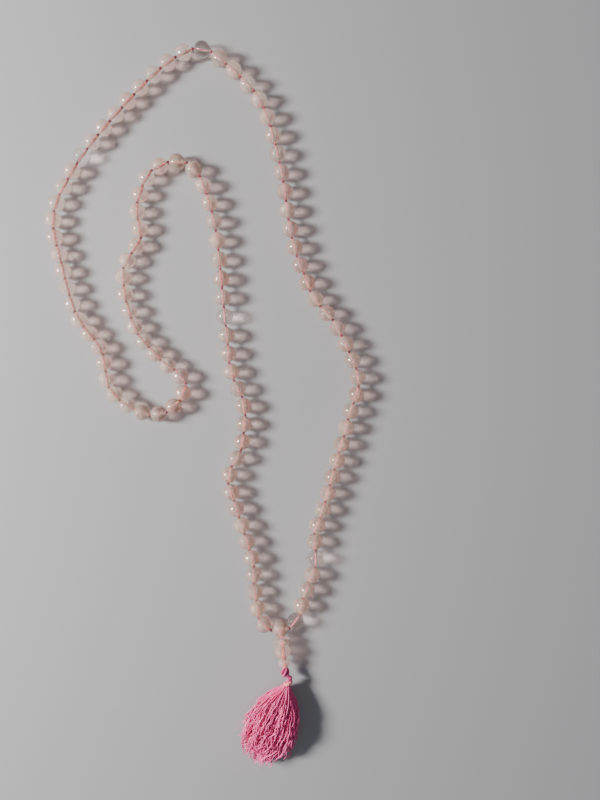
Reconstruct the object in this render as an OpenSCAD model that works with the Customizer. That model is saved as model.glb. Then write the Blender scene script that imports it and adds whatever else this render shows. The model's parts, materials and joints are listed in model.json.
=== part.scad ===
// Mala prayer beads, laid flat in a loose loop.
// 108 drilled round stone beads sit on one string, with a hard knot between each two. Both ends of
// the string meet in the guru bead, pass side by side through three turned pieces (the tower) and
// end in a knot that holds a tassel.
// Millimetres. The origin is on the table under the guru bead, +Y runs away from the tassel along
// the loop, and +Z is up.

/* [Beads] */
// Diameter of a bead; the loop and the tower scale with it
bead_d = 8; // [7:0.5:10]
// Diameter of the hole through a bead
bore_d = 1.1; // [1:0.05:1.3]
// Diameter of the countersink at each mouth of a bead's hole, where a knot seats
mouth_d = 1.9; // [1.8:0.05:2.2]

/* [String] */
// Diameter of the knotting string
string_d = 0.7; // [0.5:0.05:0.8]
// Diameter of the knot between two beads
knot_d = 1.5; // [1.2:0.05:1.6]

/* [Tower] */
// Diameter and thickness of the flat disc next to the guru bead
disc_size = [7.8, 3.7]; // [3:0.1:8]
// Diameter and thickness of the barrel in the middle of the tower
barrel_size = [8.2, 6]; // [4:0.1:9]
// Diameter and thickness of the tip, next to the tassel's knot
tip_size = [5.8, 4.5]; // [3:0.1:6]
// Angle that the tower points to the right of straight down, in degrees
tower_heading = 6.5; // [-10:0.5:10]
// Rise of the tower towards the tassel, in degrees
tower_rise = 4; // [0:0.5:6]

/* [Tassel] */
// Diameter of the round knot that closes the string
closing_knot_d = 4.4; // [3:0.1:5]
// Diameter of the smaller knot at the tassel's neck
neck_knot_d = 2.6; // [2:0.1:3.6]
// Length of the tassel's skirt from the binding to the longest threads
skirt_length = 43; // [30:1:50]
// Width of the tassel's skirt where it is widest
skirt_width = 28.8; // [18:0.1:32]
// Angle that the tassel points to the left of straight down, in degrees
tassel_heading = 20; // [0:1:25]
// Angle that the cord between the two knots leans to the right, in degrees
neck_heading = 38; // [0:1:45]

/* [Hidden] */
$fn = 48;
bead_count = 108;
bead_r = bead_d / 2;
string_r = string_d / 2;
// Scale from the 8 mm bead that the route is drawn for
grow = bead_d / 8;

// The string's route at the beads' centres, from the guru bead up the left strand, round the inner
// fold, up the outer strand, over the top and down the right strand.
route = [
    [0, 0], [-8, 2], [-12, 14], [-14, 34], [-22, 60], [-25, 74], [-19, 90], [-18, 109], [-24, 126],
    [-27, 150], [-31, 190], [-36, 212], [-43, 225], [-54, 228], [-65, 221], [-70, 206], [-69, 191],
    [-76, 177], [-76, 163], [-70, 145], [-59, 132], [-48, 122], [-49, 112], [-59, 105], [-71, 107],
    [-83, 117], [-88, 136], [-100, 154], [-107, 178], [-111, 198], [-107, 214], [-92, 238],
    [-66, 267], [-50, 280], [-38, 283], [-24, 274], [-9, 256], [0, 226], [6, 190], [16, 163],
    [26, 150], [35, 132], [38, 119], [34, 105], [22, 62], [17, 46], [17, 32], [12, 16], [7, 3],
    [0, 0]
] * grow;

// Distance between bead centres along the loop, one value for each run of nine beads: the knots
// are pulled tight at the fold and near the guru bead, and looser at the top.
spacing = [8.4, 8.9, 9.6, 8.6, 8.4, 8.2, 8.6, 9.0, 9.6, 9.3, 8.6, 8.2] * grow;
run_length = 9;

// A point on the smooth curve between route points b and c, with a and d as their neighbours
function curve(a, b, c, d, t) =
    0.5 * (2 * b + (c - a) * t + (2 * a - 5 * b + 4 * c - d) * t * t
        + (3 * b - a - 3 * c + d) * t * t * t);
curve_steps = 12;
last_leg = len(route) - 2;
path = concat([for (leg = [0:last_leg], step = [0:curve_steps - 1])
    curve(route[max(leg - 1, 0)], route[leg], route[leg + 1], route[min(leg + 2, last_leg + 1)],
        step / curve_steps)], [route[last_leg + 1]]);

// The point at place u along the path, where u counts path points
function path_at(u) =
    let (k = min(floor(u), len(path) - 2))
    path[k] * (1 - u + k) + path[k + 1] * (u - k);

// The spacing before bead i
function spacing_at(i) =
    let (u = min(max((i - 0.5 - run_length / 2) / run_length, 0), len(spacing) - 1.001))
    let (k = floor(u))
    spacing[k] * (1 - u + k) + spacing[k + 1] * (u - k);

// The place between low and high where the path is gap away from a point, by halving
halvings = 22;
function place_of(point, gap, low, high, n = halvings) =
    n == 0 ? low :
    let (middle = (low + high) / 2)
    norm(path_at(middle) - point) < gap ? place_of(point, gap, middle, high, n - 1)
        : place_of(point, gap, low, middle, n - 1);

// The places of all beads after the guru bead, with every spacing multiplied by tight
search_ahead = 2 * curve_steps;
function walk(tight, i = 1, u = 0) =
    let (next = place_of(path_at(u), tight * spacing_at(i), u, min(u + search_ahead, len(path) - 1)))
    i == bead_count ? [next] : concat([next], walk(tight, i + 1, next));

// The multiplier that brings the last bead next to the guru bead
function last_gap(tight) = let (u = walk(tight)[bead_count - 1])
    u < len(path) - search_ahead ? 2 * bead_d : norm(path_at(u));
function fit(low, high, n = halvings) =
    n == 0 ? low :
    let (middle = (low + high) / 2)
    last_gap(middle) > spacing[len(spacing) - 1] ? fit(middle, high, n - 1) : fit(low, middle, n - 1);
bead_places = walk(fit(0.96, 1.02));

// Bead centres in plan. Number 0 and the last are the guru bead.
centres = concat([[0, 0]], [for (u = bead_places) path_at(u)], [[0, 0]]);
function unit(v) = v / norm(v);
function heading(v) = atan2(v[1], v[0]);
// Direction from bead i to the next
function chord(i) = unit(centres[i + 1] - centres[i]);
function mirrored(way, line) = 2 * (way * line) * line - way;
// Directions of the holes. Each bead settles between its two knots: its hole turns until its ends
// point at the neighbours' holes, so a knot sits in line with both mouths.
last = bead_count + 1;
function settled(ways, passes) =
    passes == 0 ? ways :
    settled([for (i = [0:last])
        i == 0 ? mirrored(ways[1], chord(0)) :
        i == last ? mirrored(ways[last - 1], chord(last - 1)) :
        unit(2 * ways[i] + mirrored(ways[i - 1], chord(i - 1)) + mirrored(ways[i + 1], chord(i)))],
        passes - 1);
settle_passes = 6;
hole_ways = settled([for (i = [0:last]) unit((i == last ? [0, 0] : chord(i))
    + (i == 0 ? [0, 0] : chord(i - 1)))], settle_passes);
function along(i) = hole_ways[i];
// The knot between bead i and the next, where the lines of their holes come closest
function knot_at(i) = ((centres[i] + along(i) * norm(centres[i + 1] - centres[i]) / 2)
    + (centres[i + 1] - along(i + 1) * norm(centres[i + 1] - centres[i]) / 2)) / 2;

// The tower's and the tassel's directions
tower_way = [sin(tower_heading) * cos(tower_rise), -cos(tower_heading) * cos(tower_rise),
    sin(tower_rise)];
tassel_way = [-sin(tassel_heading), -cos(tassel_heading), 0];
// Gap between two turned pieces, and the wider one after the guru bead where the tower swings
turning_gap = 0.1;
swing_gap = 0.3;
// Distances from the guru bead's centre along the tower
disc_start = bead_r + swing_gap;
barrel_start = disc_start + disc_size[1] + turning_gap;
tip_start = barrel_start + barrel_size[1] + turning_gap;
knot_start = tip_start + tip_size[1] + turning_gap;
// Two string ends lie side by side in the tower's hole
pair_offset = string_r + 0.05;
tower_bore_d = 2 * (pair_offset + string_r) + 0.3;
function on_tower(distance) = [0, 0, bead_r] + tower_way * distance;
neck_way = [sin(neck_heading) * cos(tower_rise), -cos(neck_heading) * cos(tower_rise),
    sin(tower_rise)];
neck = on_tower(knot_start + closing_knot_d / 2)
    + neck_way * (closing_knot_d / 2 + turning_gap + neck_knot_d / 2);

// Beads are made in groups of three, with a single bead after each, and three singles at the end
cycle = 7;
full_cycles = 15;
groups = concat(
    [for (c = [0:full_cycles - 1], g = [[1, 3], [4, 4], [5, 7]]) [g[0] + cycle * c, g[1] + cycle * c]],
    [for (i = [full_cycles * cycle + 1:bead_count]) [i, i]]);
function group_name(g) = g[0] == g[1] ? str("bead_", g[0]) : str("beads_", g[0], "_to_", g[1]);

// A hole from the middle of a bead out to one side along +Z, countersunk at its mouth
mouth_depth = 0.8;
module half_hole(hole_d, rim_d) {
    cylinder(h = bead_r + 1, d = hole_d);
    translate([0, 0, bead_r - mouth_depth])
        cylinder(h = mouth_depth + 0.1, d1 = hole_d, d2 = rim_d + (rim_d - hole_d) / mouth_depth * 0.1);
}

// Turns children that point along +Z to point along a direction
module pointing(way) {
    rotate([0, acos(way[2] / norm(way)), heading(way)]) children();
}

module bead(i) {
    translate([centres[i][0], centres[i][1], bead_r])
        rotate([0, 90, heading(along(i))])
            difference() {
                sphere(d = bead_d);
                half_hole(bore_d, mouth_d);
                mirror([0, 0, 1]) half_hole(bore_d, mouth_d);
            }
}

module bead_group(g) {
    color("mistyrose") for (i = [g[0]:g[1]]) bead(i);
}

// The three-way bead: a hole to each strand and a wider one to the tower
guru_pocket = 0.6;
module guru_bead() {
    color("mistyrose") translate([0, 0, bead_r]) difference() {
        sphere(d = bead_d);
        rotate([0, 90, heading(along(0))]) half_hole(bore_d, mouth_d);
        rotate([0, 90, heading(-along(last))]) half_hole(bore_d, mouth_d);
        pointing(tower_way) translate([0, 0, -guru_pocket]) {
            cylinder(h = bead_r + guru_pocket + 1, d = tower_bore_d);
            translate([0, 0, guru_pocket]) half_hole(tower_bore_d, tower_bore_d + 0.4);
        }
    }
}

// One end of the string inside the guru bead: down the tower's hole on one side, then round a
// bend to the hole of a strand. Each entry is a place and a radius.
pair_side = [cos(tower_heading), sin(tower_heading), 0];
function inside_guru(side, way) = [
    [on_tower(bead_r - 0.2) + pair_side * side * pair_offset, string_r],
    [on_tower(1.3) + pair_side * side * pair_offset, string_r],
    [on_tower(0.4) + [way[0], way[1], 0] * 0.4, string_r],
    [on_tower(0) + [way[0], way[1], 0] * 1.2, string_r],
    [on_tower(0) + [way[0], way[1], 0] * straight_half, string_r]
];
// The string is straight this far each side of a bead's centre, and swells to a knot beyond
straight_half = bead_r - 0.85;
function lifted(p) = [p[0], p[1], bead_r];
function reversed(list) = [for (i = [len(list) - 1:-1:0]) list[i]];
string_stations = concat(
    inside_guru(-1, along(0)),
    [for (i = [1:bead_count]) each [
        [lifted(knot_at(i - 1)), knot_d / 2],
        [lifted(centres[i] - along(i) * straight_half), string_r],
        [lifted(centres[i] + along(i) * straight_half), string_r]]],
    [[lifted(knot_at(bead_count)), knot_d / 2]],
    reversed(inside_guru(1, -along(last))));

string_sides = 6;
function ring(stations, i) =
    let (before = stations[max(i - 1, 0)][0])
    let (after = stations[min(i + 1, len(stations) - 1)][0])
    let (here = stations[i][0])
    let (way = unit((i == 0 ? [0, 0, 0] : unit(here - before))
        + (i == len(stations) - 1 ? [0, 0, 0] : unit(after - here))))
    let (across = unit([way[1], -way[0], 0]))
    let (up = cross(across, way))
    [for (s = [0:string_sides - 1])
        here + stations[i][1] * (cos(360 * s / string_sides) * across
            + sin(360 * s / string_sides) * up)];

// A closed tube through stations, each a place and a radius
module tube(stations) {
    n = len(stations);
    m = string_sides;
    polyhedron(
        points = [for (i = [0:n - 1]) each ring(stations, i)],
        faces = concat(
            [[for (s = [0:m - 1]) s]],
            [for (i = [0:n - 2], s = [0:m - 1])
                [m * i + s, m * (i + 1) + s, m * (i + 1) + (s + 1) % m, m * i + (s + 1) % m]],
            [[for (s = [m - 1:-1:0]) m * (n - 1) + s]]));
}

module knotted_string() {
    color("palevioletred") tube(string_stations);
}

// The two ends of the string side by side, from the guru bead's mouth to the closing knot
module string_ends() {
    ends_start = bead_r + 0.05;
    color("pink") for (side = [-1, 1])
        translate(on_tower(ends_start) + pair_side * side * pair_offset)
            pointing(tower_way) cylinder(h = knot_start - ends_start, r = string_r);
}

// A turned piece with a round rim and a hole, standing on +Z
module turned(size) {
    rim_r = size[1] / 2;
    translate([0, 0, rim_r]) difference() {
        rotate_extrude() {
            translate([0, -rim_r]) square([size[0] / 2 - rim_r, size[1]]);
            intersection() {
                translate([size[0] / 2 - rim_r, 0]) circle(r = rim_r);
                translate([0, -rim_r]) square([size[0] / 2, size[1]]);
            }
        }
        cylinder(h = size[1] + 2, d = tower_bore_d, center = true);
    }
}

module tower_piece(start, size) {
    color("mistyrose") translate(on_tower(start)) pointing(tower_way) turned(size);
}

module tower_disc() {
    tower_piece(disc_start, disc_size);
}

module tower_barrel() {
    tower_piece(barrel_start, barrel_size);
}

module tower_tip() {
    tower_piece(tip_start, tip_size);
}

module closing_knot() {
    color("mediumvioletred") translate(on_tower(knot_start + closing_knot_d / 2))
        sphere(d = closing_knot_d);
}

module neck_knot() {
    color("mediumvioletred") translate(neck) sphere(d = neck_knot_d);
}

// The cord wound round the tassel's head: two turns that touch
binding_turns = 2;
binding_cord_d = 0.9;
binding_core_r = 1.5;
binding_start = neck_knot_d / 2 + 0.1;
module tassel_binding() {
    color("salmon") translate(neck + tassel_way * binding_start) pointing(tassel_way) {
        cylinder(h = binding_turns * binding_cord_d, r = binding_core_r);
        for (turn = [0:binding_turns - 1])
            translate([0, 0, (turn + 0.5) * binding_cord_d])
                rotate_extrude() translate([binding_core_r, 0]) circle(d = binding_cord_d);
    }
}

// The skirt's outer shape, at shares of its length: half width as a share of the widest, and the
// top's height above the table. The lower side spreads out on the table.
skirt_start = binding_start + binding_turns * binding_cord_d + 0.2;
skirt_stations = [[0, 0.13, 7.2], [0.06, 0.24, 8.2], [0.14, 0.45, 9.8], [0.28, 0.68, 11.4],
    [0.5, 0.9, 12.2], [0.74, 1, 10.6], [0.9, 0.82, 7.8], [1, 0.42, 5]];
skirt_corners = 20;
function skirt_bottom(share) = max(0, 4 * (1 - share / 0.14));
function skirt_ring(station) =
    let (low = skirt_bottom(station[0]))
    let (middle = neck + tassel_way * (skirt_start + station[0] * skirt_length))
    let (side = [cos(tassel_heading), -sin(tassel_heading), 0])
    [for (c = [0:skirt_corners - 1])
        let (a = 360 * c / skirt_corners)
        let (rise = max(-0.8, sin(a)) / 1.8 + 0.8 / 1.8)
        [middle[0], middle[1], low] + side * cos(a) * station[1] * skirt_width / 2
            + [0, 0, (station[2] - low) * rise]];
module tassel_skirt() {
    n = len(skirt_stations);
    m = skirt_corners;
    color("hotpink") polyhedron(
        points = [for (s = skirt_stations) each skirt_ring(s)],
        faces = concat(
            [[for (c = [m - 1:-1:0]) c]],
            [for (i = [0:n - 2], c = [0:m - 1])
                [m * i + c, m * i + (c + 1) % m, m * (i + 1) + (c + 1) % m, m * (i + 1) + c]],
            [[for (c = [0:m - 1]) m * (n - 1) + c]]));
}

guru_bead();
knotted_string();
string_ends();
tower_disc();
tower_barrel();
tower_tip();
closing_knot();
neck_knot();
tassel_binding();
tassel_skirt();
for (g = groups) bead_group(g);
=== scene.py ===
"""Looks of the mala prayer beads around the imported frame: stone beads, knotted string, tower and tassel."""
import json
import math
import random

import bmesh
import bpy
from mathutils import Matrix, Vector, noise

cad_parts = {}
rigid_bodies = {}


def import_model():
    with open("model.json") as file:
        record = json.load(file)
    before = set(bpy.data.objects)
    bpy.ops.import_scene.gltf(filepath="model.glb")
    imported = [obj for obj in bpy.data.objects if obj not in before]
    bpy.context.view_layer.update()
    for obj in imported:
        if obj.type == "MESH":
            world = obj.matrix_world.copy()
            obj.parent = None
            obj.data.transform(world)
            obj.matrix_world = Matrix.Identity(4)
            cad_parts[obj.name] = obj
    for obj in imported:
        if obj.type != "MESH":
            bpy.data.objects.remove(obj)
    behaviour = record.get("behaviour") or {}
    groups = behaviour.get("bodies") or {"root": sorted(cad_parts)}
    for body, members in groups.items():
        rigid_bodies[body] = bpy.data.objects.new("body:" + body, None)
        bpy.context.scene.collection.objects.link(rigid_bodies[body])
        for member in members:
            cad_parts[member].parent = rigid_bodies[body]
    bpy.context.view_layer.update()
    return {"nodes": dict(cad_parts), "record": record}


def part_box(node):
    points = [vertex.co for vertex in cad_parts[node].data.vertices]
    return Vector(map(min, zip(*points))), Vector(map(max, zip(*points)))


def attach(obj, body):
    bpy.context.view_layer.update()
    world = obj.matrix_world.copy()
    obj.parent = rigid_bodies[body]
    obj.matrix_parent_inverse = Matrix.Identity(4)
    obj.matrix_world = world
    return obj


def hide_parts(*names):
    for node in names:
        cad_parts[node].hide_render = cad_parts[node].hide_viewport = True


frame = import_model()
record = frame["record"]
bodies = record["behaviour"]["bodies"]
joints = {j["name"]: j for j in record["behaviour"]["joints"]}
body_of = {node: body for body, nodes in bodies.items() for node in nodes}
parent_of = {j["child"]: j["parent"] for j in joints.values()}

MM = 0.001
UP = Vector((0, 0, 1))
BEAD_COUNT = 108
BEAD_R = 4.0 * MM
BORE_R = 0.55 * MM
MOUTH_R = 0.95 * MM
MOUTH_DEPTH = 0.8 * MM
STRING_R = 0.42 * MM
# Half of the straight stretch of string inside a bead
STRAIGHT_HALF = BEAD_R - 0.85 * MM
STAGE_MIDDLE = (0, 0.13, 0)
CAMERA_PLACE = (0.0096, 0.1117, 0.278)
SENSOR_HEIGHT = 24
LENS = 16.8
FLOOR_SIZE = 9
FLOOR_DROP = 0.0001


# ---------------------------------------------------------------- camera, lights and floor

def add_camera():
    """A camera about 28 cm above the table that looks straight down on the mala."""
    data = bpy.data.cameras.new("camera")
    data.sensor_fit = "VERTICAL"
    data.sensor_height = SENSOR_HEIGHT
    data.lens = LENS
    data.clip_start = 0.01
    camera = bpy.data.objects.new("camera", data)
    bpy.context.collection.objects.link(camera)
    camera.location = CAMERA_PLACE
    bpy.context.scene.camera = camera


def add_area(name, location, size, energy, colour):
    """A round area light that points at the middle of the stage."""
    data = bpy.data.lights.new(name, "AREA")
    data.shape = "DISK"
    data.size = size
    data.energy = energy
    data.color = colour
    light = bpy.data.objects.new(name, data)
    bpy.context.collection.objects.link(light)
    light.location = location
    way = Vector(STAGE_MIDDLE) - Vector(location)
    light.rotation_euler = way.to_track_quat("-Z", "Y").to_euler()


def add_stage():
    """A plain grey floor, a warm key light from the left, a weak cool fill and a dim sky."""
    bpy.ops.mesh.primitive_plane_add(size=FLOOR_SIZE, location=(*STAGE_MIDDLE[:2], -FLOOR_DROP))
    floor = bpy.context.object
    floor.name = "floor"
    material = bpy.data.materials.new("floor")
    material.use_nodes = True
    shader = material.node_tree.nodes["Principled BSDF"]
    shader.inputs["Base Color"].default_value = (0.34, 0.34, 0.36, 1)
    shader.inputs["Roughness"].default_value = 0.9
    shader.inputs["Specular IOR Level"].default_value = 0.1
    floor.data.materials.append(material)
    add_area("key", (-0.75, 0.16, 0.45), size=0.22, energy=22, colour=(1.0, 0.96, 0.91))
    add_area("fill", (0.4, 0.3, 1.0), size=0.8, energy=1.3, colour=(0.93, 0.96, 1.0))
    world = bpy.data.worlds.new("studio")
    bpy.context.scene.world = world
    world.use_nodes = True
    background = world.node_tree.nodes["Background"]
    background.inputs["Color"].default_value = (0.85, 0.9, 1.0, 1)
    background.inputs["Strength"].default_value = 0.16


add_camera()
add_stage()


# ---------------------------------------------------------------- materials

def new_material(name):
    material = bpy.data.materials.new(name)
    material.use_nodes = True
    return material, material.node_tree, material.node_tree.nodes["Principled BSDF"]


def add_noise(tree, scale, detail=3.0, distortion=0.0, offset=0.0):
    """Noise over the object's own coordinates; offset picks a different part of it."""
    coordinates = tree.nodes.new("ShaderNodeTexCoord")
    texture = tree.nodes.new("ShaderNodeTexNoise")
    texture.noise_dimensions = "4D"
    texture.inputs["Scale"].default_value = scale
    texture.inputs["Detail"].default_value = detail
    texture.inputs["Distortion"].default_value = distortion
    texture.inputs["W"].default_value = offset
    tree.links.new(coordinates.outputs["Object"], texture.inputs["Vector"])
    return texture.outputs["Fac"]


def add_range(tree, value, low, high, out_low, out_high):
    node = tree.nodes.new("ShaderNodeMapRange")
    node.inputs["From Min"].default_value = low
    node.inputs["From Max"].default_value = high
    node.inputs["To Min"].default_value = out_low
    node.inputs["To Max"].default_value = out_high
    tree.links.new(value, node.inputs["Value"])
    return node.outputs["Result"]


def add_colour_mix(tree, factor, first, second):
    node = tree.nodes.new("ShaderNodeMix")
    node.data_type = "RGBA"
    node.inputs["A"].default_value = (*first, 1)
    node.inputs["B"].default_value = (*second, 1)
    tree.links.new(factor, node.inputs["Factor"])
    return node.outputs["Result"]


def add_bump(tree, shader, height, strength, distance):
    node = tree.nodes.new("ShaderNodeBump")
    node.inputs["Strength"].default_value = strength
    node.inputs["Distance"].default_value = distance
    tree.links.new(height, node.inputs["Height"])
    tree.links.new(node.outputs["Normal"], shader.inputs["Normal"])


QUARTZ_IOR = 1.54


def rose_quartz(name, tint, veil, clear, milky, shade, offset):
    """Polished translucent stone with milky veils.

    clear and milky are the shares of light that pass beside and inside the veils, and shade is the
    colour of the light that falls through the stone into its shadow."""
    material, tree, shader = new_material(name)
    veils = add_range(tree, add_noise(tree, 130, 3, 0.5, offset), 0.35, 0.75, 0, 1)
    tree.links.new(add_colour_mix(tree, veils, tint, veil), shader.inputs["Base Color"])
    tree.links.new(add_range(tree, veils, 0, 1, clear, milky), shader.inputs["Transmission Weight"])
    polish = add_noise(tree, 900, 2, 0, offset + 3)
    tree.links.new(add_range(tree, polish, 0.3, 0.8, 0.02, 0.07), shader.inputs["Roughness"])
    shader.inputs["IOR"].default_value = QUARTZ_IOR
    shader.inputs["Subsurface Weight"].default_value = 0.5
    shader.inputs["Subsurface Radius"].default_value = (1.0, 0.6, 0.5)
    shader.inputs["Subsurface Scale"].default_value = 0.002
    lets_light = tree.nodes.new("ShaderNodeBsdfTransparent")
    lets_light.inputs["Color"].default_value = (*shade, 1)
    path = tree.nodes.new("ShaderNodeLightPath")
    mix = tree.nodes.new("ShaderNodeMixShader")
    tree.links.new(path.outputs["Is Shadow Ray"], mix.inputs["Fac"])
    tree.links.new(shader.outputs["BSDF"], mix.inputs[1])
    tree.links.new(lets_light.outputs["BSDF"], mix.inputs[2])
    tree.links.new(mix.outputs["Shader"], tree.nodes["Material Output"].inputs["Surface"])
    return material


def thread_material(name, dark, light, fuzz_scale, roughness, sheen, shine=0.5):
    """Spun thread: its tone comes from the piece's own tone attribute, mottled by fine fibres."""
    material, tree, shader = new_material(name)
    tone = tree.nodes.new("ShaderNodeAttribute")
    tone.attribute_name = "tone"
    fibres = add_noise(tree, fuzz_scale, 3, 0.4)
    mottled = tree.nodes.new("ShaderNodeMath")
    mottled.operation = "MULTIPLY_ADD"
    mottled.use_clamp = True
    mottled.inputs[1].default_value = 0.5
    tree.links.new(fibres, mottled.inputs[0])
    shift = add_range(tree, tone.outputs["Fac"], 0, 1, -0.3, 0.8)
    tree.links.new(shift, mottled.inputs[2])
    tree.links.new(add_colour_mix(tree, mottled.outputs[0], dark, light), shader.inputs["Base Color"])
    tree.links.new(add_range(tree, fibres, 0.3, 0.7, roughness - 0.08, roughness + 0.1),
                   shader.inputs["Roughness"])
    shader.inputs["Sheen Weight"].default_value = sheen
    shader.inputs["Sheen Roughness"].default_value = 0.4
    shader.inputs["Sheen Tint"].default_value = (*light, 1)
    shader.inputs["Specular IOR Level"].default_value = shine
    add_bump(tree, shader, fibres, 0.9, 0.16 * MM)
    return material


SHADE = (0.28, 0.22, 0.21)
MILK = (1.0, 0.82, 0.73)
QUARTZ = [
    rose_quartz("quartz_peach", (1.0, 0.79, 0.69), MILK, 0.88, 0.79, SHADE, 0),
    rose_quartz("quartz_rose", (1.0, 0.77, 0.72), MILK, 0.88, 0.79, SHADE, 5),
    rose_quartz("quartz_milky", (1.0, 0.80, 0.71), MILK, 0.85, 0.77, SHADE, 9),
    rose_quartz("quartz_pale", (1.0, 0.84, 0.76), MILK, 0.90, 0.82, SHADE, 14),
    rose_quartz("quartz_deep", (1.0, 0.73, 0.64), MILK, 0.88, 0.80, SHADE, 21),
]
CLEAR_QUARTZ = rose_quartz("quartz_clear", (0.97, 0.91, 0.88), (0.95, 0.87, 0.83), 1.0, 0.95,
                           (0.55, 0.49, 0.47), 30)
STRING = thread_material("string", (0.30, 0.012, 0.05), (0.90, 0.26, 0.36), 5000, 0.55, 0.2)
# The knots are the string's own cord made much darker: painted shade where they sit in the bead mouths and
# between their tight turns.
SHADED_KNOT = thread_material("knot", (0.09, 0.004, 0.014), (0.30, 0.03, 0.07), 5000, 0.6, 0.15)
TASSEL_CORD = thread_material("tassel_cord", (0.30, 0.006, 0.08), (0.80, 0.12, 0.34), 4500, 0.5, 0.12)
BINDING = thread_material("binding", (0.82, 0.13, 0.16), (1.0, 0.40, 0.40), 4500, 0.4, 0.15)
TASSEL = thread_material("tassel_thread", (0.66, 0.001, 0.14), (1.0, 0.16, 0.45), 5200, 0.34, 0.1, 0.75)


# ---------------------------------------------------------------- meshes

class Piece:
    """Collects rings and faces of one piece, with a tone from 0 to 1 for each vertex."""

    def __init__(self, name):
        self.name, self.verts, self.faces, self.tones = name, [], [], []

    def rings(self, rings, tone=0.5, closed=False, rise=0.0):
        """Joins rings of equal length into a tube that gets lighter by rise towards its far end, which on the
        tassel threads is a painted highlight on their tips.

        An open tube gets end caps."""
        sides, first = len(rings[0]), len(self.verts)
        for i, ring in enumerate(rings):
            self.verts.extend(ring)
            self.tones.extend([tone + rise * i / len(rings)] * sides)
        count = len(rings) if closed else len(rings) - 1
        for i in range(count):
            low, high = first + i * sides, first + (i + 1) % len(rings) * sides
            for s in range(sides):
                t = (s + 1) % sides
                self.faces.append((low + s, low + t, high + t, high + s))
        if not closed:
            last = first + (len(rings) - 1) * sides
            self.faces.append(tuple(first + s for s in reversed(range(sides))))
            self.faces.append(tuple(last + s for s in range(sides)))

    def make(self, material, body, slot, replaces=(), sharp=None):
        """The finished object, smooth but for edges sharper than sharp degrees, where that is given."""
        mesh = bpy.data.meshes.new(self.name)
        mesh.from_pydata([tuple(v) for v in self.verts], [], self.faces)
        tone = mesh.attributes.new("tone", "FLOAT", "POINT")
        tone.data.foreach_set("value", self.tones)
        mesh.polygons.foreach_set("use_smooth", [True] * len(self.faces))
        if sharp is not None:
            mesh.set_sharp_from_angle(angle=math.radians(sharp))
        mesh.materials.append(material)
        mesh.validate()
        piece = bpy.data.objects.new(self.name, mesh)
        bpy.context.collection.objects.link(piece)
        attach(piece, body)
        if replaces:
            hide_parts(*replaces)
        return piece


def frames_along(points, closed=False):
    """Directions across a path that turn with it as little as they can."""
    n = len(points)
    ways = []
    for i in range(n):
        before = points[i - 1] if closed else points[max(i - 1, 0)]
        after = points[(i + 1) % n] if closed else points[min(i + 1, n - 1)]
        ways.append((after - before).normalized())
    across = ways[0].cross(UP)
    if across.length < 1e-3:
        across = ways[0].cross(Vector((1, 0, 0)))
    frames = []
    for way in ways:
        across = (across - way * across.dot(way)).normalized()
        frames.append((across, way.cross(across)))
    return frames


def tube_rings(points, radii, sides, closed=False):
    """One round ring across the path at each of its points."""
    rings = []
    for point, radius, (across, up) in zip(points, radii, frames_along(points, closed)):
        rings.append([point + across * (radius * math.cos(math.tau * s / sides))
                      + up * (radius * math.sin(math.tau * s / sides)) for s in range(sides)])
    return rings


def resample(points, step):
    """The same path with points an even step apart."""
    lengths = [0.0]
    for a, b in zip(points, points[1:]):
        lengths.append(lengths[-1] + (b - a).length)
    count = max(2, round(lengths[-1] / step))
    out, k = [], 0
    for i in range(count + 1):
        want = lengths[-1] * i / count
        while k < len(points) - 2 and lengths[k + 1] < want:
            k += 1
        share = (want - lengths[k]) / max(lengths[k + 1] - lengths[k], 1e-12)
        out.append(points[k].lerp(points[k + 1], min(max(share, 0), 1)))
    return out


# Radius of one ply as a share of its cord's, for cords of two and of three plies
PLY_SHARE = {2: 0.56, 3: 0.5}


def twisted(piece, points, radius, step, pitch, plies=2, sides=6, tone=0.5, closed=False):
    """A cord of two or three plies wound round a path, a closed one in a whole number of turns."""
    path = points if closed else resample(points, step)
    frames = frames_along(path, closed)
    ply_r = radius * PLY_SHARE[plies]
    offset = radius - ply_r
    length = 0.0
    turns = []
    for a, b in zip(path, path[1:] + path[:1]):
        turns.append(length)
        length += (b - a).length
    if closed:
        pitch = length / max(1, round(length / pitch))
    for ply in range(plies):
        line = []
        for point, (across, up), along in zip(path, frames, turns):
            angle = math.tau * (along / pitch + ply / plies)
            line.append(point + (across * math.cos(angle) + up * math.sin(angle)) * offset)
        piece.rings(tube_rings(line, [ply_r] * len(line), sides, closed), tone, closed)


# ---------------------------------------------------------------- where the beads are

def solids_of(node, count):
    """The middles of a node's separate solids."""
    mesh = bmesh.new()
    mesh.from_mesh(frame["nodes"][node].data)
    bmesh.ops.remove_doubles(mesh, verts=mesh.verts, dist=1e-6)
    middles, seen = [], set()
    for start in mesh.verts:
        if start in seen:
            continue
        island, todo = [], [start]
        seen.add(start)
        while todo:
            vert = todo.pop()
            island.append(vert.co.copy())
            for edge in vert.link_edges:
                other = edge.other_vert(vert)
                if other not in seen:
                    seen.add(other)
                    todo.append(other)
        low = Vector([min(c[k] for c in island) for k in range(3)])
        high = Vector([max(c[k] for c in island) for k in range(3)])
        middles.append((low + high) / 2)
    mesh.free()
    assert len(middles) == count, (node, len(middles))
    return middles


def bead_nodes():
    """Each bead node with its first and last bead, in order along the string."""
    found = []
    for node in body_of:
        parts = node.split("_")
        if parts[0] == "bead":
            found.append((int(parts[1]), int(parts[1]), node))
        elif parts[0] == "beads":
            found.append((int(parts[1]), int(parts[3]), node))
    return sorted(found)


guru = Vector((0, 0, BEAD_R))
centres, node_of_bead = [guru], [None]
for first, last, node in bead_nodes():
    left = solids_of(node, last - first + 1)
    while left:
        nearest = min(left, key=lambda c: (c - centres[-1]).length)
        left.remove(nearest)
        centres.append(Vector((nearest.x, nearest.y, BEAD_R)))
        node_of_bead.append(node)
centres.append(guru)


def chord(i):
    """Direction from bead i to the next."""
    return (centres[i + 1] - centres[i]).normalized()


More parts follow.
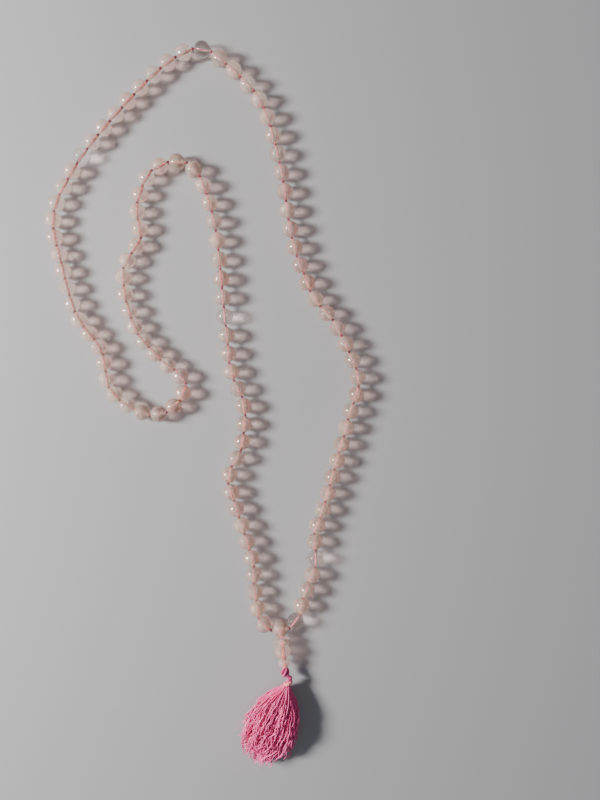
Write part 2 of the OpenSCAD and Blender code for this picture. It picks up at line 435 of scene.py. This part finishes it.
def settled(passes):
    """Directions of the holes: each bead turns until its hole's ends point at its neighbours' holes."""
    last = BEAD_COUNT + 1
    middle_ways = [(chord(i) + chord(i - 1)).normalized() for i in range(1, last)]
    ways = [chord(0)] + middle_ways + [chord(last - 1)]
    for _ in range(passes):
        seen = [2 * ways[i + 1].dot(chord(i)) * chord(i) - ways[i + 1] for i in range(last)]
        past = [2 * ways[i].dot(chord(i)) * chord(i) - ways[i] for i in range(last)]
        ways = [seen[0]] + [(2 * ways[i] + past[i - 1] + seen[i]).normalized()
                            for i in range(1, last)] + [past[last - 1]]
    return ways


SETTLING_PASSES = 6
hole_ways = settled(SETTLING_PASSES)


def bore_way(i):
    """Direction of the hole through bead i."""
    return hole_ways[i]


def knot_at(i):
    """The knot between bead i and the next."""
    half = (centres[i + 1] - centres[i]).length / 2
    return ((centres[i] + bore_way(i) * half) + (centres[i + 1] - bore_way(i + 1) * half)) / 2


def link_of(i):
    """The body that the string at bead i rides on: a spinning bead's own parent."""
    body = body_of[node_of_bead[i]]
    return parent_of[body] if body == node_of_bead[i] else body


# ---------------------------------------------------------------- stone

SEGMENTS = 44
ARC_STEPS = 26


def turned_profile(outer, bore_r, mouth_r, half, sink):
    """Closed outline of a bored piece: outer rim, rounded mouths, countersinks and the bore wall.

    outer is a list of (radius, height) from the top mouth's edge to the bottom one's."""
    top = [(bore_r, half - sink), (bore_r * 0.4 + mouth_r * 0.6, half - sink * 0.35),
           (mouth_r, half - sink * 0.06)]
    wall = [(bore_r, (half - sink) * k) for k in (-0.33, 0.33)]
    return top + outer + [(r, -z) for r, z in reversed(top)] + wall


def sphere_outer(radius, mouth_r):
    """A round flank from just outside the top mouth to just outside the bottom one."""
    start = math.asin(mouth_r * 1.1 / radius)
    angles = [start + (math.pi - 2 * start) * k / ARC_STEPS for k in range(ARC_STEPS + 1)]
    return [(radius * math.sin(a), radius * math.cos(a)) for a in angles]


def lathe(piece, profile, centre, way, uneven=0.0, seed=0.0):
    """Turns a closed outline about a line, slightly uneven, as hand-finished stone is."""
    turn = way.to_track_quat("Z", "Y").to_matrix()
    rings = []
    for k in range(SEGMENTS):
        angle = math.tau * k / SEGMENTS
        ring = []
        for radius, height in profile:
            local = Vector((radius * math.cos(angle), radius * math.sin(angle), height))
            if uneven and local.length > BEAD_R * 0.6:
                spot = local.normalized() * 1.4 + Vector((seed, seed * 0.37, -seed))
                local *= 1 + uneven * noise.noise(spot)
            ring.append(centre + turn @ local)
        rings.append(ring)
    piece.rings(rings, closed=True)


def polished(piece, material, body, replaces=()):
    return piece.make(material, body, "rose_quartz", replaces, sharp=50)


BEAD_SEED = 108
CLEAR_BEADS = (19, 64, 73, 104, 108)
BEAD_UNEVEN = 0.012


def make_beads():
    rng = random.Random(BEAD_SEED)
    outline = turned_profile(sphere_outer(BEAD_R, MOUTH_R), BORE_R, MOUTH_R,
                             math.sqrt(BEAD_R**2 - MOUTH_R**2), MOUTH_DEPTH)
    for i in range(1, BEAD_COUNT + 1):
        material = rng.choice(QUARTZ)
        piece = Piece(f"bead_piece_{i:03d}")
        lathe(piece, outline, centres[i], bore_way(i), BEAD_UNEVEN, rng.uniform(0, 50))
        polished(piece, CLEAR_QUARTZ if i in CLEAR_BEADS else material, body_of[node_of_bead[i]],
                 [node_of_bead[i]])


tower_way = Vector(joints["tower_disc_spin"]["axis"])
mouth = Vector(joints["tower_swing"]["pos_m"])
neck = Vector(joints["tassel_swing"]["pos_m"])
# Half the distance between the two string ends that run side by side
PAIR_OFFSET = 0.41 * MM
TOWER_BORE_R = 0.9 * MM
TOWER_UNEVEN = 0.006
TOWER_SEED = 3.0
# Node, stone and thickness of each turned piece, from the guru bead down
TOWER_PIECES = (("tower_disc", QUARTZ[2], 3.7 * MM),
                ("tower_barrel", QUARTZ[4], 6.0 * MM),
                ("tower_tip", QUARTZ[1], 4.5 * MM))
pair_side = tower_way.cross(UP).normalized() * -1


def make_guru():
    """The three-way bead: a sphere with its holes cut by three tapered plugs."""
    steps = 64
    piece = Piece("guru_blank")
    rings = []
    for k in range(1, steps // 2):
        a = math.tau * k / steps
        rings.append([guru + Vector((BEAD_R * math.sin(a) * math.cos(math.tau * s / steps),
                                     BEAD_R * math.sin(a) * math.sin(math.tau * s / steps),
                                     BEAD_R * math.cos(a))) for s in range(steps)])
    piece.rings(rings)
    blank = piece.make(QUARTZ[2], "root", "rose_quartz")
    # way out, bore radius, mouth radius and how far the plug starts behind the bead's centre
    holes = ((bore_way(0), BORE_R, MOUTH_R, 0),
             (-bore_way(BEAD_COUNT + 1), BORE_R, MOUTH_R, 0),
             (tower_way, TOWER_BORE_R, TOWER_BORE_R + 0.2 * MM, 0.6 * MM))
    for way, bore, rim, back in holes:
        plug = Piece("plug")
        stations = ((-back, bore), (BEAD_R - MOUTH_DEPTH, bore), (BEAD_R - 0.05 * MM, rim),
                    (BEAD_R + MM, rim * 1.6))
        plug.rings(tube_rings([guru + way * d for d, r in stations], [r for d, r in stations], 32))
        mesh = bpy.data.meshes.new("plug")
        mesh.from_pydata([tuple(v) for v in plug.verts], [], plug.faces)
        cutter = bpy.data.objects.new("plug", mesh)
        bpy.context.collection.objects.link(cutter)
        cut = blank.modifiers.new("cut", "BOOLEAN")
        cut.operation, cut.solver, cut.object = "DIFFERENCE", "EXACT", cutter
        bpy.context.view_layer.objects.active = blank
        bpy.ops.object.modifier_apply(modifier="cut")
        bpy.data.objects.remove(cutter)
    blank.name = "guru_piece"
    blank.data.set_sharp_from_angle(angle=math.radians(40))
    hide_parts("guru_bead")


def rim_outer(radius, thickness, mouth_r):
    """A round rim, between two flat faces where the piece is wide enough for them."""
    rim = thickness / 2
    inner = max(radius - rim, 0)
    has_faces = inner > mouth_r * 1.3
    points = [(mouth_r * 1.15, rim)] if has_faces else []
    for k in range(ARC_STEPS + 1):
        a = math.pi * k / ARC_STEPS
        r, z = inner + rim * math.sin(a), rim * math.cos(a)
        if r > mouth_r * 1.1:
            points.append((r, z))
    if has_faces:
        points.append((mouth_r * 1.15, -rim))
    return points


def make_tower_pieces():
    mouth_r = TOWER_BORE_R * 1.15
    for node, material, thickness in TOWER_PIECES:
        low, high = (Vector(c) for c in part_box(node))
        centre = (low + high) / 2
        radius = (high.z - low.z) / 2
        outer = rim_outer(radius, thickness, mouth_r)
        half = outer[0][1]
        outline = turned_profile(outer, TOWER_BORE_R, mouth_r, half, 0.3 * MM)
        piece = Piece(node + "_piece")
        lathe(piece, outline, centre, tower_way, TOWER_UNEVEN, TOWER_SEED)
        polished(piece, material, node, [node])


# ---------------------------------------------------------------- string and knots

TWIST_STEP = 0.24 * MM
TWIST_PITCH = 1.9 * MM


def make_string_run(name, first, last, body):
    """The string through beads first to last, from the knot before to the knot after."""
    points = [knot_at(first - 1)]
    for i in range(first, last + 1):
        points += [centres[i] - bore_way(i) * STRAIGHT_HALF, centres[i] + bore_way(i) * STRAIGHT_HALF,
                   knot_at(i)]
    piece = Piece(name)
    twisted(piece, points, STRING_R, TWIST_STEP, TWIST_PITCH, tone=0.62)
    piece.make(STRING, body, "string", ["knotted_string"])


KNOT_SEED = 7
KNOT_R = 0.76 * MM
KNOT_CORD_R = 0.30 * MM
KNOT_HALF = 0.24 * MM
KNOT_STEPS = 42


def trefoil(centre, way, width, length, turn, count):
    """A closed overhand knot of one round cord, with its axis along way."""
    rotation = way.to_track_quat("Z", "Y").to_matrix() @ Matrix.Rotation(turn, 3, "Z")
    points = []
    for k in range(count):
        t = math.tau * k / count
        local = Vector(((math.sin(t) + 2 * math.sin(2 * t)) / 3 * width,
                        (math.cos(t) - 2 * math.cos(2 * t)) / 3 * width,
                        -math.sin(3 * t) * length))
        points.append(centre + rotation @ local)
    return points


def make_knots(name, knots, body, rng):
    piece = Piece(name)
    for i in knots:
        size = rng.uniform(0.92, 1.05)
        width = (KNOT_R - KNOT_CORD_R) * size
        path = trefoil(knot_at(i), chord(i), width, KNOT_HALF, rng.uniform(0, 6), KNOT_STEPS)
        rings = tube_rings(path, [KNOT_CORD_R * size] * len(path), 7, True)
        piece.rings(rings, rng.uniform(0.25, 0.6), True)
    piece.make(SHADED_KNOT, body, "string")


def make_string():
    rng = random.Random(KNOT_SEED)
    first = 1
    for i in range(1, BEAD_COUNT + 1):
        body = link_of(i)
        if i == BEAD_COUNT or link_of(i + 1) != body:
            run = f"{first:03d}_{i:03d}"
            make_string_run("string_" + run, first, i, body)
            make_knots("knots_" + run, ([0] if first == 1 else []) + list(range(first, i + 1)), body, rng)
            first = i + 1
    for side, way, name in ((-1, bore_way(0), "left"), (1, -bore_way(BEAD_COUNT + 1), "right")):
        points = [guru + tower_way * (BEAD_R - 0.05 * MM) + pair_side * (side * PAIR_OFFSET),
                  guru + tower_way * 1.3 * MM + pair_side * (side * PAIR_OFFSET),
                  guru + tower_way * 0.4 * MM + way * 0.4 * MM,
                  guru + way * 1.2 * MM, guru + way * STRAIGHT_HALF,
                  knot_at(0 if side < 0 else BEAD_COUNT)]
        piece = Piece("string_in_guru_" + name)
        twisted(piece, points, STRING_R, TWIST_STEP, TWIST_PITCH, tone=0.72)
        piece.make(STRING, "root", "string", ["knotted_string"])
    low, high = (Vector(c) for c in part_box("closing_knot"))
    reach = ((low + high) / 2 - mouth).dot(tower_way)
    # The two string ends get the string's lightest tone: painted light on them where they show through the
    # tower.
    piece = Piece("string_ends_piece")
    for side in (-1, 1):
        start = mouth + tower_way * 0.05 * MM + pair_side * (side * PAIR_OFFSET)
        twisted(piece, [start, start + tower_way * reach], STRING_R, TWIST_STEP, TWIST_PITCH, tone=1.0)
    piece.make(STRING, "tower", "string", ["string_ends"])


# ---------------------------------------------------------------- tassel

skirt_hinge = Vector(joints["tassel_lift"]["pos_m"])
tassel_way = Vector((skirt_hinge.x - neck.x, skirt_hinge.y - neck.y, 0)).normalized()
tassel_side = Vector((-tassel_way.y, tassel_way.x, 0))
SKIRT_START = Vector((skirt_hinge.x, skirt_hinge.y, 0))
SKIRT_LENGTH = 43 * MM
SKIRT_HALF = 14.4 * MM
# Shares of the skirt's length: half width as a share of the widest, and the top above the table in mm
SKIRT_SHAPE = [(0, 0.10, 6.9), (0.06, 0.22, 7.9), (0.14, 0.46, 9.5), (0.28, 0.73, 11.0),
               (0.50, 0.86, 11.6), (0.74, 0.87, 10.0), (0.90, 0.72, 7.2), (1.02, 0.48, 4.4)]


def shape_at(share):
    """The skirt's half width and its top above the table at a share of its length."""
    for (a, wa, ha), (b, wb, hb) in zip(SKIRT_SHAPE, SKIRT_SHAPE[1:]):
        if share <= b:
            break
    k = min(max((share - a) / (b - a), 0), 1.2)
    return (wa + (wb - wa) * k) * SKIRT_HALF, (ha + (hb - ha) * k) * MM


THREAD_R = 0.21 * MM
THREAD_STEPS = 44
THREAD_SIDES = 5
SKIRT_SEED = 21
THREADS = 420
STRAYS = 9
# The first threads end in a loop, and the first of those curl on top of the bundle
LOOPS = 40
CURLS = 16
# Where along a looped thread the loop begins, as a share of the thread
LOOP_START = 0.7
# How far from the skirt's start the bundle still hangs from the binding, as a share of the skirt
HELD_SHARE = 0.14
HELD_HEIGHT = 4.2 * MM

# Blender's vector noise takes its offsets from the clock unless it gets a seed
noise.seed_set(SKIRT_SEED)


def wander(seed, place):
    """A smooth random way, the same for each run."""
    return noise.noise_vector(Vector((seed * 7.31, seed * 1.7, place)))


def thread_path(rng, across, height, reach, crimp, loop):
    """One tassel thread: it leaves the binding, wanders about its place in the bundle and is
    crimped more and more; its end strays aside, or turns back in a loop."""
    seed = rng.uniform(0, 100)
    drift, lift = rng.gauss(0, 0.08), rng.gauss(-0.03, 0.06)
    fall, waves, fray = rng.uniform(0.1, 0.6), rng.uniform(8, 16), rng.uniform(-2, 2) * reach * MM
    points = []
    for k in range(THREAD_STEPS + 1):
        t = k / THREAD_STEPS
        share, aside = t * reach, 0.0
        if loop and t > LOOP_START:
            turn = (t - LOOP_START) / 0.3 * math.pi * 1.05
            share = LOOP_START * reach + math.sin(turn) * 2.2 * MM / SKIRT_LENGTH * abs(loop)
            aside = (1 - math.cos(turn)) * 0.9 * MM * loop
        half, top = shape_at(share)
        low = max(0, HELD_HEIGHT * (1 - share / HELD_SHARE))
        a = max(-1.02, min(1.02, across + drift * t))
        h = max(0.02, min(1, (height + lift * t) * (1 - fall * max(0, t - 0.75) * 3)))
        loose = min(1, 0.12 + share * 1.6) * MM
        far = wander(seed, t * 2.6) * 2.6 * loose
        near = wander(seed + 50, t * waves * reach) * crimp * (0.9 + 1.1 * t) * loose
        shift = far + near
        aside += fray * max(0, t - 0.8) * 5
        ahead = share * SKIRT_LENGTH + 0.5 * shift.x
        point = SKIRT_START + tassel_way * ahead + tassel_side * (a * half + aside + shift.y)
        point.z = max(low + h * (top - low) + 0.8 * shift.z, THREAD_R * 1.05)
        points.append(point)
    return points


def stray_path(rng):
    """A thread that bows out of the bundle's right side or top and comes back to it."""
    seed = rng.uniform(0, 100)
    first, last = rng.uniform(0.02, 0.2), rng.uniform(0.5, 0.95)
    bow, rise = rng.uniform(0.8, 3.2) * MM, rng.uniform(1.0, 3.4) * MM
    points = []
    for k in range(THREAD_STEPS + 1):
        t = k / THREAD_STEPS
        share = first + (last - first) * t
        half, top = shape_at(share)
        arch = math.sin(math.pi * t)
        shift = wander(seed, t * 5) * 0.9 * arch * MM
        side = -(0.55 + 0.3 * t) * half - bow * arch + shift.y
        point = SKIRT_START + tassel_way * (share * SKIRT_LENGTH + shift.x) + tassel_side * side
        point.z = max(0.62 * top + rise * arch + shift.z, THREAD_R * 1.05)
        points.append(point)
    return points


def make_skirt():
    rng = random.Random(SKIRT_SEED)
    piece = Piece("tassel_threads")
    for k in range(THREADS + STRAYS):
        if k >= THREADS:
            path = stray_path(rng)
        else:
            # more threads near the outside of the bundle than inside it
            angle = rng.uniform(0, math.tau)
            radius = math.sqrt(rng.uniform(0.1, 1))
            across = radius * math.cos(angle)
            height = 0.5 + 0.5 * radius * math.sin(angle)
            loop = rng.choice((-1, 1)) * rng.uniform(0.6, 1.6) if k < LOOPS else 0
            if k < CURLS:
                across, height, loop = rng.uniform(-0.85, 0.5), rng.uniform(0.93, 1), loop * 1.7
            # most threads are nearly as long as the skirt, some are shorter and a few are half as long
            lengths = (rng.uniform(0.88, 1.0), rng.uniform(0.7, 0.88), rng.uniform(0.45, 0.7))
            reach = rng.choices(lengths, (0.62, 0.28, 0.10))[0]
            reach *= 1 - 0.24 * abs(across) ** 2
            path = thread_path(rng, across, height, reach, rng.uniform(0.6, 1.9), loop)
        radius = THREAD_R * rng.uniform(0.85, 1.1)
        radii = [radius] * (len(path) - 2) + [radius * 0.9, radius * 0.55]
        # rise lightens each thread towards its end: a painted highlight on the tassel's tips.
        piece.rings(tube_rings(path, radii, THREAD_SIDES), rng.gauss(0.30, 0.2), rise=0.62)
    piece.make(TASSEL, "tassel_skirt", "tassel_thread", ["tassel_skirt"])


def woven_knot(centre, way, ring_r, round_r, length, count):
    """A round knot of one cord that passes over and under itself in a basket weave."""
    turn = way.to_track_quat("Z", "Y").to_matrix()
    points = []
    for k in range(count):
        t = math.tau * k / count
        r = ring_r + round_r * math.cos(4 * t)
        local = Vector((r * math.cos(3 * t), r * math.sin(3 * t), length * math.sin(4 * t)))
        points.append(centre + turn @ local)
    return points


CORD_PITCH = 2.2 * MM
NECK_CORD_PITCH = 1.8 * MM


def make_tassel_knots():
    """The closing and neck knots: each a woven ball round a smaller one, with cord ends through it."""
    low, high = (Vector(c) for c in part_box("closing_knot"))
    middle = (low + high) / 2
    piece = Piece("closing_knot_piece")
    # The smaller ball inside gets a darker tone than the outer one: painted shade inside the knot.
    for size, tone in ((1.0, 0.6), (0.62, 0.3)):
        path = woven_knot(middle, tower_way, 0.99 * size * MM, 0.66 * size * MM, 1.64 * size * MM, 170)
        twisted(piece, path, 0.55 * MM, TWIST_STEP, CORD_PITCH, plies=3, tone=tone, closed=True)
    for side in (-1, 1):
        ends = [middle + tower_way * (side * 0.3 * MM), middle + tower_way * (side * 2.15 * MM)]
        twisted(piece, ends, 0.6 * MM, TWIST_STEP, CORD_PITCH, plies=3, tone=0.4)
    piece.make(TASSEL_CORD, "tower", "tassel_cord", ["closing_knot"])
    piece = Piece("neck_knot_piece")
    # The smaller ball inside gets a darker tone than the outer one: painted shade inside the knot.
    for size, tone in ((1.0, 0.5), (0.6, 0.25)):
        path = woven_knot(neck, tassel_way, 0.52 * size * MM, 0.38 * size * MM, 0.9 * size * MM, 120)
        twisted(piece, path, 0.41 * MM, TWIST_STEP, NECK_CORD_PITCH, plies=3, tone=tone, closed=True)
    ends = [neck - tassel_way * 0.2 * MM, neck + tassel_way * 1.7 * MM]
    twisted(piece, ends, 0.6 * MM, TWIST_STEP, CORD_PITCH, plies=3, tone=0.4)
    piece.make(TASSEL_CORD, "tassel_head", "tassel_cord", ["neck_knot"])


BINDING_TURNS = 3.2
BINDING_TILT = -0.66
BINDING_R = 1.5 * MM
BINDING_STEPS = 120
CORE_THREADS = 30
CORE_SEED = 5
# Angle between neighbours that spreads points evenly over a disc, as a share of a full turn
GOLDEN_TURN = 0.381966


def make_binding():
    """Salmon cord wound slantwise round a core of gathered threads."""
    low, high = neck + tassel_way * 1.3 * MM, neck + tassel_way * 3.3 * MM
    points = []
    for k in range(BINDING_STEPS + 1):
        t = k / BINDING_STEPS
        angle = math.tau * BINDING_TURNS * t + 0.8
        ring = tassel_side * math.cos(angle) + UP * math.sin(angle)
        slant = tassel_way * (math.cos(angle) * BINDING_TILT * BINDING_R)
        points.append(low.lerp(high, 0.2 + 0.6 * t) + slant + ring * BINDING_R)
    piece = Piece("binding_cord")
    twisted(piece, points, 0.46 * MM, TWIST_STEP, 1.7 * MM, sides=7, tone=0.6)
    piece.make(BINDING, "tassel_head", "binding", ["tassel_binding"])
    core = Piece("binding_core")
    rng = random.Random(CORE_SEED)
    # distance from the neck knot in mm, and how far the threads spread there
    spread = ((0.8, 0.5), (1.4, 0.9), (2.6, 0.95), (3.7, 1.25))
    for k in range(CORE_THREADS):
        angle = math.tau * k * GOLDEN_TURN
        radius = 1.15 * MM * math.sqrt((k + 0.5) / CORE_THREADS)
        ring = tassel_side * math.cos(angle) + UP * math.sin(angle)
        points = [neck + tassel_way * d * MM + ring * (radius * s) for d, s in spread]
        line = resample(points, 0.5 * MM)
        core.rings(tube_rings(line, [0.2 * MM] * len(line), 6), rng.uniform(0.2, 0.7))
    core.make(TASSEL, "tassel_head", "tassel_thread")


make_beads()
make_guru()
make_tower_pieces()
make_string()
make_tassel_knots()
make_binding()
make_skirt()
